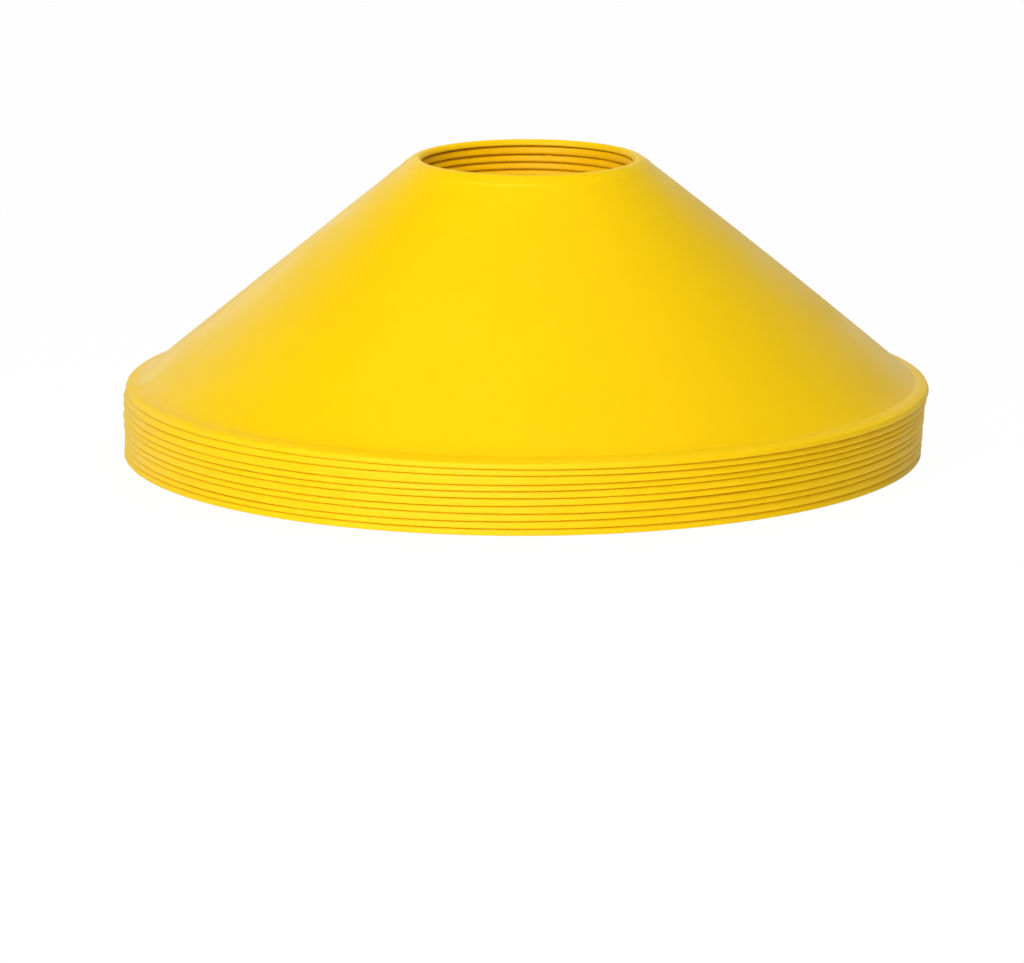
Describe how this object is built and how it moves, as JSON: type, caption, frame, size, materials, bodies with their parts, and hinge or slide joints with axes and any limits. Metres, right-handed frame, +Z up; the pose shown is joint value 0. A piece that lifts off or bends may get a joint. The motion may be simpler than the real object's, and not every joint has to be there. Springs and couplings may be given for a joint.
{
  "type": "stack of marker disc cones",
  "caption": "Nested stack of low open marker cones for sports training, each a thin moulded disc with a round centre hole in a raised collar and a flared rim.",
  "frame": {"origin": "centre of the lowest rim, on the ground", "axes": "+Z up along the axis that all the discs share; the discs are round, so X and Y are free"},
  "size_m": [0.2, 0.2, 0.0734],
  "materials": {
    "yellow_plastic": "satin soft polyethylene, coloured right through"
  },
  "bodies": {
    "disc_01": {"disc_01": "yellow_plastic"},
    "disc_02": {"disc_02": "yellow_plastic"},
    "disc_03": {"disc_03": "yellow_plastic"},
    "disc_04": {"disc_04": "yellow_plastic"},
    "disc_05": {"disc_05": "yellow_plastic"},
    "disc_06": {"disc_06": "yellow_plastic"},
    "disc_07": {"disc_07": "yellow_plastic"},
    "disc_08": {"disc_08": "yellow_plastic"},
    "disc_09": {"disc_09": "yellow_plastic"},
    "disc_10": {"disc_10": "yellow_plastic"}
  },
  "joints": [
    {"name": "lift_02", "type": "slide", "parent": "disc_01", "child": "disc_02", "axis": [0, 0, 1], "range_m": [0, 0.06]},
    {"name": "lift_03", "type": "slide", "parent": "disc_02", "child": "disc_03", "axis": [0, 0, 1], "range_m": [0, 0.06]},
    {"name": "lift_04", "type": "slide", "parent": "disc_03", "child": "disc_04", "axis": [0, 0, 1], "range_m": [0, 0.06]},
    {"name": "lift_05", "type": "slide", "parent": "disc_04", "child": "disc_05", "axis": [0, 0, 1], "range_m": [0, 0.06]},
    {"name": "lift_06", "type": "slide", "parent": "disc_05", "child": "disc_06", "axis": [0, 0, 1], "range_m": [0, 0.06]},
    {"name": "lift_07", "type": "slide", "parent": "disc_06", "child": "disc_07", "axis": [0, 0, 1], "range_m": [0, 0.06]},
    {"name": "lift_08", "type": "slide", "parent": "disc_07", "child": "disc_08", "axis": [0, 0, 1], "range_m": [0, 0.06]},
    {"name": "lift_09", "type": "slide", "parent": "disc_08", "child": "disc_09", "axis": [0, 0, 1], "range_m": [0, 0.06]},
    {"name": "lift_10", "type": "slide", "parent": "disc_09", "child": "disc_10", "axis": [0, 0, 1], "range_m": [0, 0.06]}
  ]
}
